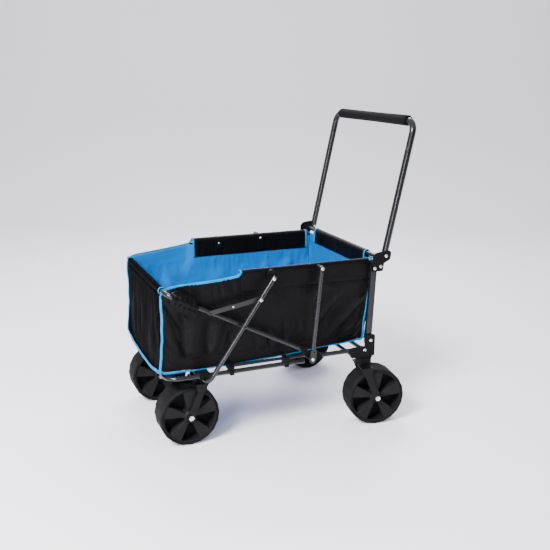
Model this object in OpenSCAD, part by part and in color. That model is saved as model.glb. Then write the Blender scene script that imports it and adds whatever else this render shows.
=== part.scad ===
// Folding beach cart: a fabric tub on a folding tube frame, four wide swivel casters and a push handle.
// Millimetres. +X points to the handle end, +Y to the cart's right, +Z up; z = 0 is the ground.
// Side-view points are [x, z]. The frame's members lie in four upright planes on each side of the cart.

/* [Frame tubes] */
// Diameter of the frame tubes
tube_d = 15; // [14.8:0.1:15.2]
// Wall of the frame tubes
tube_wall = 1.2; // [0.8:0.1:2]
// Diameter of the slim slide rails
slide_d = 11; // [10:0.5:11]
// Distance from the middle of the cart to the top rails and lower outer rails
rail_y = 252.5; // [252:0.1:252.8]
// Distance from the middle to the front bar's arms and the rear posts
bar_y = 269; // [268.8:0.1:269.2]
// Distance from the middle to the leg frame and the middle posts
leg_y = 290; // [289.8:0.1:290.4]
// Distance from the middle to the slim slide rails
slide_y = 237; // [236:0.5:238]

/* [Side view points] */
// Height of the lower rails
rail_z = 264; // [263.5:0.1:264.5]
// Height of the top rails
top_z = 570; // [569:0.5:571]
// Top pivot of the rear posts
rear_top_x = 296; // [295:0.5:297]
// Top pivot of the middle posts
mid_top_x = 92; // [90:1:94]
// Foot pivot of the middle posts
mid_foot_x = 64; // [62:1:66]
// Leg frame's crossbar, along X
leg_low_x = -297; // [-298:0.5:-296]
// Leg frame's crossbar, height
leg_low_z = 229; // [228.5:0.5:229.5]
// Leg frame's top pivot, along X
leg_top_x = -76; // [-78:1:-74]
// Leg frame's top pivot, height
leg_top_z = 552; // [551:0.5:553]
// Scissor rivet where the leg frame crosses the bar frame
scissor_x = -177; // [-179:1:-175]
// Front top bar, along X
front_bar_x = -418; // [-420:1:-416]
// Front top bar, height
front_bar_z = 528; // [526:1:530]
// Foot of the bar frame's arms
bar_foot_x = 38; // [36:1:40]
// Lock link's rivet on the bar frame
link_bar_x = -282; // [-284:1:-280]
// Lock link's rivet on the leg frame
link_leg_x = -120; // [-122:1:-118]

/* [Handle] */
// Height of the grip's middle
grip_z = 1029; // [1000:1:1040]
// Diameter of the handle tube
handle_d = 22; // [20:0.5:22]
// Outer diameter of the foam grip
grip_d = 36; // [30:1:38]
// Length of the foam grip
grip_len = 472; // [440:2:476]
// Lean of the handle away from the cart
handle_lean = 12; // [10:0.5:14]

/* [Wheels] */
// Wheel diameter
wheel_d = 200; // [190:1:200]
// Width of the tread
wheel_w = 84; // [80:1:86]
// Number of spokes
spokes = 5; // [3:1:8]
// Distance the wheel trails its swivel
trail = 39; // [36:1:42]
// Outward turn of the rear wheels
rear_yaw = 9; // [0:1:15]

/* [Fabric] */
// Half the width of the tub, outside
tub_half_w = 228; // [224:1:229]
// Thickness of the padded fabric
cloth = 3; // [2:0.5:4]
// Height of the tub's floor
floor_z = 284; // [283:0.5:288]

/* [Hidden] */
$fn = 48;
e = 0.01;              // overreach that keeps cuts clean
run = 0.07;            // radial clearance of a running fit
gap = 0.3;             // clearance between parts that pass each other
rivet_d = 6;
big_pin_d = 8;
king_d = 12;
axle_d = 12;
steel = "#3b3d42";
plastic = "#17181a";
zinc = "#c3c6ca";
fabric = "#1d1e20";
lining = "#1f86c9";

rear_top = [rear_top_x, top_z];
mid_top = [mid_top_x, top_z];
mid_foot = [mid_foot_x, rail_z];
rear_pivot = mid_foot + rear_top - mid_top;
leg_low = [leg_low_x, leg_low_z];
leg_top = [leg_top_x, leg_top_z];
front_bar = [front_bar_x, front_bar_z];
scissor = along(leg_low, leg_top, scissor_x);
bar_foot = along(front_bar, scissor, bar_foot_x);
bar_u = unit(bar_foot - front_bar);
link_bar = along(front_bar, scissor, link_bar_x);
link_leg = along(leg_low, leg_top, link_leg_x);
link_mid = link_bar + 0.452 * (link_leg - link_bar);
rear_low = [284, 288];
rear_tube = [311, 584];
rear_low_tube = [292, 244];
front_rail_end = 53;
front_rail_x = -418;
front_rail_z = 245;
slide_z = 259;
slide_front_x = -218;
handle_y = 273;
handle_pivot = [332, 590];
grip_x = handle_pivot[0] + (grip_z - handle_pivot[1]) * tan(handle_lean);
post_w = 22;           // width and thickness of the flat-oval rear posts
post_t = 12;
bracket_y = [277, 283];
wheel_r = wheel_d / 2;
crown_z = 207;         // underside of the caster's crown plate
crown_t = 4;
arm_t = 4;
fork_half = wheel_w / 2 + 4;
front_swivel = [-300, 190];
rear_swivel = [268, 272];
hub_d = 42;
rim_in = 86;
rim_out = 91;
web_t = 3;             // closed web at the middle of the wheel
rail_front_x = -172;   // front end of the top rails
sleeve_t = 2.5;        // thickness of a sleeve on a tube

// A point on the side-view line from p to q at the given x
function along(p, q, x) = [x, p[1] + (q[1] - p[1]) * (x - p[0]) / (q[0] - p[0])];
function unit(v) = v / norm(v);
// A side-view point set at distance y from the middle
function at(p, y) = [p[0], y, p[1]];

// ---- shared shapes ----

module rod(p, q, d) {
    v = q - p;
    translate(p) rotate([0, acos(v[2] / norm(v)), atan2(v[1], v[0])]) cylinder(h = norm(v), d = d);
}

// A straight tube with open ends
module pipe(p, q, d = tube_d) {
    u = unit(q - p);
    difference() {
        rod(p, q, d);
        rod(p - u, q + u, d - 2 * tube_wall);
    }
}

// A straight tube whose two ends are rounded about pivots along Y, with a hole of hole_d through each
module pivot_tube(p, q, hole_d) {
    difference() {
        union() {
            rod(p, q, tube_d);
            for (c = [p, q]) translate(c) end_disc(tube_d);
        }
        rod(p, q, tube_d - 2 * tube_wall);
        for (c = [p, q]) translate(c) hole_y(hole_d, tube_d + 4);
    }
}

// A U of tube between the two sides: its crossbar is at corner and its arms run to open ends at end
module u_tube(end, corner, y, bend, d = tube_d) {
    v = end - corner;
    translate([corner[0], 0, corner[1]]) rotate([0, -atan2(v[1], v[0]), 0]) difference() {
        u_rod(norm(v), y, bend, d);
        u_rod(norm(v) + 1, y, bend, d - 2 * tube_wall);
    }
}

module u_rod(reach, y, bend, d) {
    both() {
        translate([bend, y, 0]) rotate([0, 90, 0]) cylinder(h = reach - bend, d = d);
        translate([bend, y - bend, 0]) rotate([0, 0, 90]) rotate_extrude(angle = 90) translate([bend, 0]) circle(d = d);
    }
    translate([0, y - bend, 0]) rotate([90, 0, 0]) cylinder(h = 2 * (y - bend), d = d);
}

module end_disc(d) hole_y(d + 2, d - 1);

// A cylinder along Y about the origin
module hole_y(d, h) rotate([90, 0, 0]) cylinder(h = h, d = d, center = true);

// A side-view drawing made into a slab between two distances from the middle
module slab(y0, y1) translate([0, y1, 0]) rotate([90, 0, 0]) linear_extrude(y1 - y0) children();

module pin(p, y0, y1, d) translate([p[0], y1, p[1]]) rotate([90, 0, 0]) cylinder(h = y1 - y0, d = d);

// A rivet with a domed head on its outer end
module rivet(p, y0, y1, d = rivet_d) {
    pin(p, y0, y1, d);
    translate([p[0], y1, p[1]]) rotate([-90, 0, 0]) rotate_extrude() intersection() {
        translate([0, -5]) circle(r = 7.6);
        square([6, 3]);
    }
}

module lozenge(p, q, w) translate(p) rotate(atan2(q[1] - p[1], q[0] - p[0])) {
    circle(d = w);
    translate([norm(q - p), 0]) circle(d = w);
    translate([0, -w / 2]) square([norm(q - p), w]);
}

module rounded(w, h, r) {
    translate([r, 0]) square([w - 2 * r, h]);
    translate([0, r]) square([w, h - 2 * r]);
    for (x = [r, w - r], y = [r, h - r]) translate([x, y]) circle(r = r);
}

// Draws the children on the left (-Y), the right (+Y) or both sides; they are modelled on the right
module left() mirror([0, 1, 0]) children();
module both() {
    children();
    left() children();
}

// ---- rear frame ----

module rear_posts() color(steel) both() difference() {
    slab(bar_y - post_t / 2, bar_y + post_t / 2) lozenge(rear_low, rear_top, post_w);
    pin(rear_top, 0, 400, big_pin_d);
}

module rear_bracket() color(plastic) difference() {
    union() {
        // outer cheek over the rail's pivot and the post's foot
        slab(bracket_y[0], bracket_y[1]) {
            translate([214, 241]) rounded(91, 36, 6);
            translate([268, 241]) rounded(37, 76, 6);
        }
        // block behind the post and stem over the caster
        slab(258, bracket_y[1]) translate([281.5, 241]) rounded(23.5, 34, 3);
        translate([236, 250, 234]) cube([60, 33, 20]);
        translate([rear_swivel[0], rear_swivel[1], crown_z + crown_t + 1]) cylinder(h = 24, d = 54);
    }
    pin(rear_pivot, 0, 400, big_pin_d);
    pin(rear_low_tube, 0, 270, tube_d);
    translate([0, 290, 0]) cube([700, 14, 1000]);
    translate([rear_swivel[0], rear_swivel[1], crown_z]) cylinder(h = 30, d = king_d + 2 * run);
    translate([0, 0, rail_z - tube_d / 2 - 1.5]) slab(bar_y - 8, bar_y + 7.9) square([281, 30]);
}

module rear_bracket_r() rear_bracket();
module rear_bracket_l() left() rear_bracket();

module rear_cross_tube() color(steel) pipe(at(rear_low_tube, -262), at(rear_low_tube, 262));

module rear_top_tube() color(steel) pipe(at(rear_tube, -284.9), at(rear_tube, 284.9));

module handle_bracket() color(plastic) difference() {
    union() {
        slab(285, 289) polygon([
            [282, 540], [282, 592], [292, 603], [318, 607], [346, 607], [350, 598], [347, 578], [324, 566], [320, 540]
        ]);
        slab(bar_y + post_t / 2, 285) translate([283, 543]) square([32, 31]);
    }
    pin(handle_pivot, 0, 400, big_pin_d + 2 * run);
}

module handle_bracket_r() handle_bracket();
module handle_bracket_l() left() handle_bracket();

module rear_rivets() color(zinc) both() {
    rivet([290, 551], 289, 289.5);
    rivet([312, 556], 289, 289.5);
    rivet([290, 296], bracket_y[1], bracket_y[1] + 0.5);
    // pins that the top rails, the lower rails and the handle turn on
    pin(rear_top, rail_y - tube_d / 2 - 2, bar_y + post_t / 2, big_pin_d);
    rivet(rear_pivot, bar_y - tube_d / 2 - 0.5, bracket_y[1], big_pin_d);
}

module rear_bar_sleeve() color(fabric) slab_sleeve(rear_tube, 225);

// A fabric sleeve round a cross tube
module slab_sleeve(p, half) translate([p[0], half, p[1]]) rotate([90, 0, 0]) difference() {
    cylinder(h = 2 * half, d = tube_d + 6);
    translate([0, 0, -e]) cylinder(h = 2 * half + 2 * e, d = tube_d + 0.2);
}

module rear_panel() color(lining) {
    slab(-tub_half_w + 3, tub_half_w - 3)
        polygon([[283, floor_z], [283 + cloth, floor_z], [304 + cloth, rear_tube[1] - 12], [304, rear_tube[1] - 12]]);
}

// ---- floor link ----

cross_drop = [-46, -14];

module lower_rails() color(steel) {
    both() pivot_tube(at(rear_pivot, bar_y), at(mid_foot, bar_y), big_pin_d + 2 * run);
    // cross tube, welded under both rails
    difference() {
        pin(rear_pivot + cross_drop, -bar_y, bar_y, 13);
        both() rod(at(rear_pivot, bar_y), at(mid_foot, bar_y), tube_d);
    }
}

module foot_joints() color(plastic) both() difference() {
    union() {
        slab(bar_y + tube_d / 2 + gap, leg_y - tube_d / 2 - gap) {
            lozenge(mid_foot, bar_foot, 18);
            lozenge(mid_foot, mid_foot + [34, 0], 15);
        }
        pin(bar_foot, bar_y + tube_d / 2 + gap, leg_y - tube_d / 2 - gap, 20);
    }
    pin(mid_foot, 0, 400, rivet_d);
}

module foot_rivets() color(zinc) both()
    rivet(mid_foot, bar_y + tube_d / 2 + gap, leg_y + tube_d / 2 + 1.5 + gap);

module tub_floor() color(lining) translate([-412, -tub_half_w + 4, floor_z]) cube([690, 2 * tub_half_w - 8, cloth]);

module tub_side() color(fabric) slab(tub_half_w - cloth, tub_half_w)
    polygon([[-422, 262], [-400, 257], [-300, 258], [0, 268], [282, floor_z], [294, top_z - 12], [-165, top_z - 12],
        [-178, 548], [-400, 532], [-403, 512], [-422, 512]]);

module tub_side_r() tub_side();
module tub_side_l() left() tub_side();

module tub_front() color(fabric) difference() {
    translate([-431, -tub_half_w + 3, 249]) cube([cloth, 2 * tub_half_w - 6, 265]);
    both() translate([-440, 0, 0]) rotate([90, 0, 90]) linear_extrude(30) difference() {
        translate([tub_half_w - 43, 240]) square([60, 50]);
        translate([tub_half_w - 43, 289]) circle(r = 40);
    }
}

// ---- top rails ----

leg_boss = [leg_top_x, top_z];
ear_w = 24;
boss_d = 15;

module top_rail() color(steel) difference() {
    union() {
        rod(at(rear_top, rail_y), at([rail_front_x, top_z], rail_y), tube_d);
        translate(at(rear_top, rail_y)) end_disc(tube_d);
    }
    rod(at(rear_top, rail_y), at([rail_front_x - 1, top_z], rail_y), tube_d - 2 * tube_wall);
    translate(at(rear_top, rail_y)) hole_y(big_pin_d + 2 * run, tube_d + 4);
}

module top_rail_r() top_rail();
module top_rail_l() left() top_rail();

// Ears on the outside of the rails, each on a boss that reaches the tube through the sleeve
module top_rail_ears() color(plastic) both() difference() {
    union() {
        slab(rail_y + tube_d / 2 + sleeve_t + gap, bar_y + tube_d / 2) lozenge(leg_top, leg_boss - [0, 5], ear_w);
        pin(leg_boss, rail_y + 7, bar_y, boss_d);
        pin(leg_top, bar_y, leg_y - tube_d / 2 - gap, 17);
        pin(mid_top, rail_y + 7, leg_y - tube_d / 2 - gap, boss_d);
    }
    rod(at([200, top_z], rail_y), at([rail_front_x, top_z], rail_y), tube_d);
    pin(leg_top, 0, 400, rivet_d);
    pin(mid_top, 0, 400, rivet_d);
}

module top_sleeve() color(fabric) difference() {
    translate([282, rail_y, top_z]) rotate([0, -90, 0]) cylinder(h = 456, d = tube_d + 2 * sleeve_t);
    translate([283, rail_y, top_z]) rotate([0, -90, 0]) cylinder(h = 458, d = tube_d + 0.2);
    for (p = [leg_boss, mid_top]) pin(p, 255, 400, boss_d + 0.4);
}

module top_sleeve_r() top_sleeve();
module top_sleeve_l() left() top_sleeve();

// ---- middle posts ----

post_rivet = [2, 14];  // how far the post's upper rivet lies below its top pivot

module mid_posts() color(steel) both() difference() {
    pivot_tube(at(mid_foot, leg_y), at(mid_top, leg_y), rivet_d + 2 * run);
    pin(mid_top - post_rivet, leg_y, 400, rivet_d);
}

module mid_post_plates() color(steel) both() difference() {
    union() {
        slab(leg_y + tube_d / 2, leg_y + tube_d / 2 + 1.5) lozenge(mid_foot - [1, 3], mid_foot + [2, 24], 22);
        rivet(mid_foot + [2, 22], leg_y + tube_d / 2, leg_y + tube_d / 2 + 1.5);
        rivet(mid_top - post_rivet, leg_y + tube_d / 2 - tube_wall, leg_y + tube_d / 2);
    }
    pin(mid_foot, 0, 400, rivet_d + 2 * run);
}

// ---- leg frame: a U tube whose crossbar turns in the front brackets ----

module leg_frame() color(steel) difference() {
    u_tube(leg_top + 9 * unit(leg_top - leg_low), leg_low, leg_y, 30);
    for (p = [leg_top, scissor, link_leg], s = [-1, 1])
        translate(at(p, s * leg_y)) hole_y(rivet_d + 2 * run, tube_d + 4);
}

// Rivets in the top rails' ears, on which the leg frame and the middle posts turn
module leg_rivets() color(zinc) both() {
    rivet(leg_top, bar_y, leg_y + tube_d / 2 + gap);
    rivet(mid_top, rail_y + tube_d / 2 + 1, leg_y + tube_d / 2 + gap);
}

// ---- bar frame: a U tube whose crossbar is the front top bar ----

module bar_frame() color(steel) {
    difference() {
        u_tube(bar_foot - 8 * bar_u, front_bar, bar_y, 34);
        for (s = [-1, 1]) translate(at(scissor, s * bar_y)) hole_y(rivet_d, tube_d + 4);
    }
    both() rivet(scissor, bar_y - tube_d / 2, leg_y + tube_d / 2 + gap);
}

module front_bar_sleeve() color(fabric) slab_sleeve(front_bar, 222);

module arm_sleeves() color(fabric) both() difference() {
    rod(at(along(front_bar, scissor, -384), bar_y), at(along(front_bar, scissor, -322), bar_y), tube_d + 5);
    rod(at(along(front_bar, scissor, -390), bar_y), at(along(front_bar, scissor, -316), bar_y), tube_d + 0.2);
}

// Plugs in the ends of the arms, each with a boss round the foot joint's axis
module bar_feet() color(plastic) both() {
    rod(at(bar_foot - 22 * bar_u, bar_y), at(bar_foot, bar_y), tube_d - 2 * tube_wall - 2 * run);
    pin(bar_foot, bar_y - tube_d / 2, bar_y + tube_d / 2, 15);
}

// ---- lock links ----

link_y = [bar_y + tube_d / 2 + gap, leg_y - tube_d / 2 - gap];
link_mid_y = (link_y[0] + link_y[1]) / 2;

module lock_links_front() color(plastic) both() difference() {
    slab(link_y[0], link_mid_y - 0.15) lozenge(link_bar, link_mid, 15);
    pin(link_bar, 0, 400, rivet_d);
}

module lock_links_rear() color(plastic) both() difference() {
    slab(link_mid_y + 0.15, link_y[1]) lozenge(link_mid, link_leg, 15);
    for (p = [link_mid, link_leg]) pin(p, 0, 400, rivet_d);
}

module lock_rivets() color(zinc) both() {
    rivet(link_leg, link_mid_y + 0.3, leg_y + tube_d / 2 + gap);
    pin(link_mid, link_mid_y + 0.3, link_y[1], rivet_d);
}

// ---- front frame: a U of lower rails that telescopes along the slide rails ----

module front_rail_frame() color(steel)
    u_tube([front_rail_end, front_rail_z], [front_rail_x, front_rail_z], rail_y, 45);

module front_bracket() color(plastic) difference() {
    union() {
        // bearing of the crossbar, caster housing, and the arm that clamps the outer rail
        slab(160, 222) {
            translate([leg_low_x - 21, 222]) rounded(44, 28, 5);
            translate([leg_low_x - 21, 222]) square([44, 10]);
        }
        translate([front_swivel[0], front_swivel[1], crown_z + crown_t + 1]) cylinder(h = 20, d = 54);
        slab(200, 250) translate([leg_low_x - 17, 238]) rounded(36, 12, 4);
        slab(244, 261) translate([leg_low_x - 17, 232]) rounded(36, 24, 5);
    }
    pin(leg_low, -400, 400, tube_d + 2 * run);
    translate([-400, rail_y, front_rail_z]) rotate([0, 90, 0]) cylinder(h = 200, d = tube_d);
    translate([front_swivel[0], front_swivel[1], crown_z]) cylinder(h = 14.4, d = king_d + 2 * run);
    slab(255, 300) translate(leg_low) circle(d = tube_d + 8);
}

module front_bracket_r() front_bracket();
module front_bracket_l() left() front_bracket();

module slide_clips() color(plastic) both() for (x = [-212, -20]) difference() {
    translate([x, 228.5, front_rail_z - 10]) cube([14, 32.4, 33]);
    translate([x - 1, rail_y, front_rail_z]) rotate([0, 90, 0]) cylinder(h = 16, d = tube_d);
    translate([x - 1, slide_y, slide_z]) rotate([0, 90, 0]) cylinder(h = 16, d = slide_d + 2 * run);
}

module slide_rails() color(steel) both()
    pipe([slide_front_x, slide_y, slide_z], [mid_foot_x + 8, slide_y, slide_z], slide_d);

// ---- handle ----

module handle_tube() color(steel) difference() {
    u_tube(handle_pivot - 5 * unit([grip_x, grip_z] - handle_pivot), [grip_x, grip_z], handle_y, 38, handle_d);
    for (s = [-1, 1]) translate(at(handle_pivot, s * handle_y)) hole_y(big_pin_d, handle_d + 4);
}

module handle_grip() color(plastic) translate([grip_x, grip_len / 2, grip_z]) rotate([90, 0, 0]) difference() {
    rotate_extrude() difference() {
        union() {
            square([grip_d / 2, grip_len - 6]);
            square([grip_d / 2 - 3, grip_len]);
            translate([0, 3]) square([grip_d / 2, grip_len - 6]);
        }
        square([1, 1]);
    }
    translate([0, 0, -1]) cylinder(h = grip_len + 2, d = handle_d + 0.1);
}

module handle_bolts() color(zinc) both() rivet(handle_pivot, handle_y - handle_d / 2 - 1, 289, big_pin_d);

// ---- casters: drawn round the swivel, the wheel trailing along +X ----

module place(swivel, yaw) translate([swivel[0], swivel[1], 0]) rotate([0, 0, yaw]) children();
module at_fl() left() place(front_swivel, 180) children();
module at_fr() place(front_swivel, 180) children();
module at_rl() left() place(rear_swivel, rear_yaw) children();
module at_rr() place(rear_swivel, rear_yaw) children();

module fork() color(steel) difference() {
    union() {
        // crown plate and king pin
        translate([-22, -fork_half - arm_t, crown_z]) cube([44, 2 * fork_half + 2 * arm_t, crown_t]);
        translate([0, 0, crown_z + crown_t - e]) cylinder(h = 9.8, d = king_d);
        // arms
        for (s = [-1, 1]) translate([0, s * (fork_half + arm_t / 2), 0]) slab(-arm_t / 2, arm_t / 2) {
            lozenge([trail, wheel_r], [2, crown_z - 18], 24);
            polygon([[-22, crown_z + crown_t], [22, crown_z + crown_t], [15, crown_z - 24], [-9, crown_z - 24]]);
        }
    }
    pin([trail, wheel_r], -200, 200, axle_d);
}

module fork_fl() at_fl() fork();
module fork_fr() at_fr() fork();
module fork_rl() at_rl() fork();
module fork_rr() at_rr() fork();

module axle() color(zinc) {
    pin([trail, wheel_r], -fork_half - arm_t, fork_half + arm_t, axle_d);
    for (s = [-1, 1]) translate([trail, s * (fork_half + arm_t + 3), wheel_r]) rotate([90, 0, 0])
        cylinder(h = 6, d = 18, center = true, $fn = 6);
}

module axle_fl() at_fl() axle();
module axle_fr() at_fr() axle();
module axle_rl() at_rl() axle();
module axle_rr() at_rr() axle();

// Places a wheel drawn on the XY plane, axis +Z, onto the axle
module on_axle() translate([trail, 0, wheel_r]) rotate([90, 0, 0]) children();

module rim() color(plastic) on_axle() difference() {
    union() {
        cylinder(h = wheel_w + 4, d = hub_d, center = true);
        for (i = [0 : spokes - 1]) rotate(90 + i * 360 / spokes)
            linear_extrude(wheel_w - 8, center = true) polygon([
                [0, -5], [hub_d / 2 - 2, -7], [rim_in + 1.5, -23], [rim_in + 1.5, 23], [hub_d / 2 - 2, 7], [0, 5]
            ]);
        cylinder(h = web_t, r = rim_in + 1, center = true);
        difference() {
            cylinder(h = wheel_w - 6, r = rim_out, center = true);
            cylinder(h = wheel_w, r = rim_in, center = true);
        }
    }
    cylinder(h = wheel_w + 10, d = axle_d + 2 * run, center = true);
}

module rim_fl() at_fl() rim();
module rim_fr() at_fr() rim();
module rim_rl() at_rl() rim();
module rim_rr() at_rr() rim();

// Wide soft tread with rounded shoulders
module tread() color(fabric) on_axle() rotate_extrude() difference() {
    translate([0, -wheel_w / 2]) rounded(wheel_r, wheel_w, 8);
    translate([-1, -wheel_w]) square([rim_out + 1, 2 * wheel_w]);
}

module tread_fl() at_fl() tread();
module tread_fr() at_fr() tread();
module tread_rl() at_rl() tread();
module tread_rr() at_rr() tread();

rear_posts();
rear_bracket_l();
rear_bracket_r();
rear_cross_tube();
rear_top_tube();
handle_bracket_l();
handle_bracket_r();
rear_rivets();
rear_bar_sleeve();
rear_panel();
lower_rails();
foot_joints();
foot_rivets();
tub_floor();
tub_side_l();
tub_side_r();
tub_front();
top_rail_l();
top_rail_r();
top_rail_ears();
top_sleeve_l();
top_sleeve_r();
mid_posts();
mid_post_plates();
leg_frame();
leg_rivets();
bar_frame();
front_bar_sleeve();
arm_sleeves();
bar_feet();
lock_links_front();
lock_links_rear();
lock_rivets();
front_rail_frame();
front_bracket_l();
front_bracket_r();
slide_clips();
slide_rails();
handle_tube();
handle_grip();
handle_bolts();
fork_fl();
fork_fr();
fork_rl();
fork_rr();
axle_fl();
axle_fr();
axle_rl();
axle_rr();
rim_fl();
rim_fr();
rim_rl();
rim_rr();
tread_fl();
tread_fr();
tread_rl();
tread_rr();
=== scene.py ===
"""Looks for the folding beach cart. Metres, in the CAD's frame: +X to the handle, left is -Y."""
import math

import bpy
import numpy as np
from mathutils import Matrix, Vector, noise
from mathutils.kdtree import KDTree


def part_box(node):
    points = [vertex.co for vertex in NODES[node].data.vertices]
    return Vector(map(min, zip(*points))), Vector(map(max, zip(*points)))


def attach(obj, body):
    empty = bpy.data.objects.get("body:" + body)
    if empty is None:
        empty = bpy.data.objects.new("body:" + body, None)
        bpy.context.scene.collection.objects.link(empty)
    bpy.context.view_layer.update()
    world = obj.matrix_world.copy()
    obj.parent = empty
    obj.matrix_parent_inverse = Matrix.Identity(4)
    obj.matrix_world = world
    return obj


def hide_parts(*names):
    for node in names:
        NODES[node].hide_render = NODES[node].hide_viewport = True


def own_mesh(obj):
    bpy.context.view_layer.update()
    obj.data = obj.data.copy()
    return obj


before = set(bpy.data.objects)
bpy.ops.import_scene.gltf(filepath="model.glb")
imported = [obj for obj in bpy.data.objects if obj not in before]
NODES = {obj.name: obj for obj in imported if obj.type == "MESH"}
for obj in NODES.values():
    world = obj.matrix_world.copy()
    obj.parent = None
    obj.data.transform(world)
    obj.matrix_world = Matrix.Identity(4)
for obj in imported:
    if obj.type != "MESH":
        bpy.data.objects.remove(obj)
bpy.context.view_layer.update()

SCENE = bpy.context.scene


# ---------------------------------------------------------------- camera, light and floor

def camera(place, azimuth, elevation, roll, lens):
    """The scene's camera; angles in degrees, the azimuth counted from -Y towards +X."""
    a, e, r = (math.radians(x) for x in (azimuth, elevation, roll))
    back = Vector((math.sin(a) * math.cos(e), -math.cos(a) * math.cos(e), math.sin(e)))
    level = Vector((math.cos(a), math.sin(a), 0))
    above = back.cross(level)
    right = level * math.cos(r) + above * math.sin(r)
    up = above * math.cos(r) - level * math.sin(r)
    data = bpy.data.cameras.new("camera")
    data.lens, data.sensor_width = lens, 36
    obj = bpy.data.objects.new("camera", data)
    SCENE.collection.objects.link(obj)
    obj.matrix_world = Matrix((right, up, back)).transposed().to_4x4()
    obj.location = place
    SCENE.camera = obj


def area_light(name, place, aim, size, watts, color):
    data = bpy.data.lights.new(name, "AREA")
    data.shape, data.size, data.size_y, data.energy, data.color = "RECTANGLE", size[0], size[1], watts, color
    obj = bpy.data.objects.new(name, data)
    SCENE.collection.objects.link(obj)
    obj.location = place
    obj.rotation_mode = "QUATERNION"
    obj.rotation_quaternion = (Vector(aim) - Vector(place)).to_track_quat("-Z", "Y")


WARM, COOL = (1, 0.985, 0.97), (0.95, 0.97, 1)
camera(place=(-0.9917, -2.4518, 1.1862), azimuth=-23.05, elevation=14.84, roll=0.485, lens=50.63)
area_light("key", (-2.3, -1.7, 2.7), aim=(0, 0, 0.35), size=(1.1, 1.1), watts=400, color=WARM)
area_light("strip", (-2.4, -3.3, 1.0), aim=(0, 0, 0.4), size=(0.30, 1.3), watts=95, color=COOL)
area_light("rim", (0.9, 2.3, 2.9), aim=(0, 0, 0.5), size=(2.4, 1.0), watts=150, color=COOL)


def studio_world():
    """Soft light, strong overhead and weak at the horizon."""
    world = bpy.data.worlds.new("studio")
    world.use_nodes = True
    tree = world.node_tree
    sky = tree.nodes["Background"]
    sky.inputs["Color"].default_value = (0.86, 0.84, 0.91, 1)
    split = tree.nodes.new("ShaderNodeSeparateXYZ")
    tree.links.new(tree.nodes.new("ShaderNodeTexCoord").outputs["Generated"], split.inputs[0])
    rise = tree.nodes.new("ShaderNodeMapRange")
    rise.interpolation_type = "SMOOTHSTEP"
    for key, x in zip(("From Min", "From Max", "To Min", "To Max"), (0.05, 0.85, 0.26, 1.75)):
        rise.inputs[key].default_value = x
    tree.links.new(split.outputs[2], rise.inputs["Value"])
    tree.links.new(rise.outputs[0], sky.inputs["Strength"])
    SCENE.world = world


studio_world()


# ---------------------------------------------------------------- materials

class Finish:
    """A Principled material whose colour, roughness and bump come from nodes in object or UV metres."""

    def __init__(self, name, rgb, **sockets):
        self.mat = bpy.data.materials.new(name)
        self.mat.use_nodes = True
        self.tree = self.mat.node_tree
        self.shader = self.tree.nodes["Principled BSDF"]
        self.rgb = rgb
        for key, value in sockets.items():
            self.shader.inputs[key.replace("_", " ")].default_value = value
        self.place = self.node("ShaderNodeTexCoord").outputs["Object"]
        self.uv = self.node("ShaderNodeTexCoord").outputs["UV"]
        self.normal = None

    def node(self, kind, **values):
        n = self.tree.nodes.new(kind)
        for key, value in values.items():
            if hasattr(n, key):
                setattr(n, key, value)
            else:
                n.inputs[key].default_value = value
        return n

    def link(self, a, b):
        self.tree.links.new(a, b)

    def math(self, op, a, b=None):
        n = self.node("ShaderNodeMath", operation=op)
        for socket, value in zip(n.inputs, (a, b)):
            if isinstance(value, bpy.types.NodeSocket):
                self.link(value, socket)
            elif value is not None:
                socket.default_value = value
        return n.outputs[0]

    def noise(self, scale, detail=3.0, stretch=None, at=None):
        n = self.node("ShaderNodeTexNoise", Scale=scale, Detail=detail)
        at = at or self.place
        if stretch:
            m = self.node("ShaderNodeMapping")
            m.inputs["Scale"].default_value = stretch
            self.link(at, m.inputs["Vector"])
            at = m.outputs[0]
        self.link(at, n.inputs["Vector"])
        return n.outputs["Fac"]

    def ramp(self, value, low, high, a=0.0, b=1.0):
        n = self.node("ShaderNodeMapRange")
        for key, x in zip(("From Min", "From Max", "To Min", "To Max"), (low, high, a, b)):
            n.inputs[key].default_value = x
        self.link(value, n.inputs["Value"])
        return n.outputs[0]

    def colour(self, fac, dark, light):
        """Base colour between dark and light times rgb."""
        n = self.node("ShaderNodeMix", data_type="RGBA")
        self.link(fac, n.inputs["Factor"])
        for key, k in (("A", dark), ("B", light)):
            socket = [s for s in n.inputs if s.name == key and s.type == "RGBA"][0]
            socket.default_value = (*[min(1, c * k) for c in self.rgb], 1)
        self.link([s for s in n.outputs if s.type == "RGBA"][0], self.shader.inputs["Base Color"])

    def roughness(self, fac, low, high):
        self.link(self.ramp(fac, 0.3, 0.7, low, high), self.shader.inputs["Roughness"])

    def bump(self, height, metres, strength=1.0):
        n = self.node("ShaderNodeBump", Strength=strength, Distance=metres)
        self.link(height, n.inputs["Height"])
        if self.normal:
            self.link(self.normal, n.inputs["Normal"])
        self.normal = n.outputs[0]
        self.link(self.normal, self.shader.inputs["Normal"])

    def weave(self, pitch):
        """Height of a plain weave of that thread pitch, from UV in metres."""
        xyz = self.node("ShaderNodeSeparateXYZ")
        self.link(self.uv, xyz.inputs[0])
        k = math.pi / pitch
        a, b = (self.math("SINE", self.math("MULTIPLY", xyz.outputs[i], k)) for i in (0, 1))
        return self.ramp(self.math("MULTIPLY", a, b), -1, 1)


def steel_paint(name, rgb, specular, low, high):
    """Powder coat over steel, its roughness from low to high."""
    f = Finish(name, rgb, Specular_IOR_Level=specular, Coat_Weight=specular, Coat_Roughness=0.12)
    f.colour(f.noise(24), 0.8, 1.2)
    f.roughness(f.noise(60, 4), low, high)
    f.bump(f.noise(900, 2), 0.00002)
    return f.mat


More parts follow.
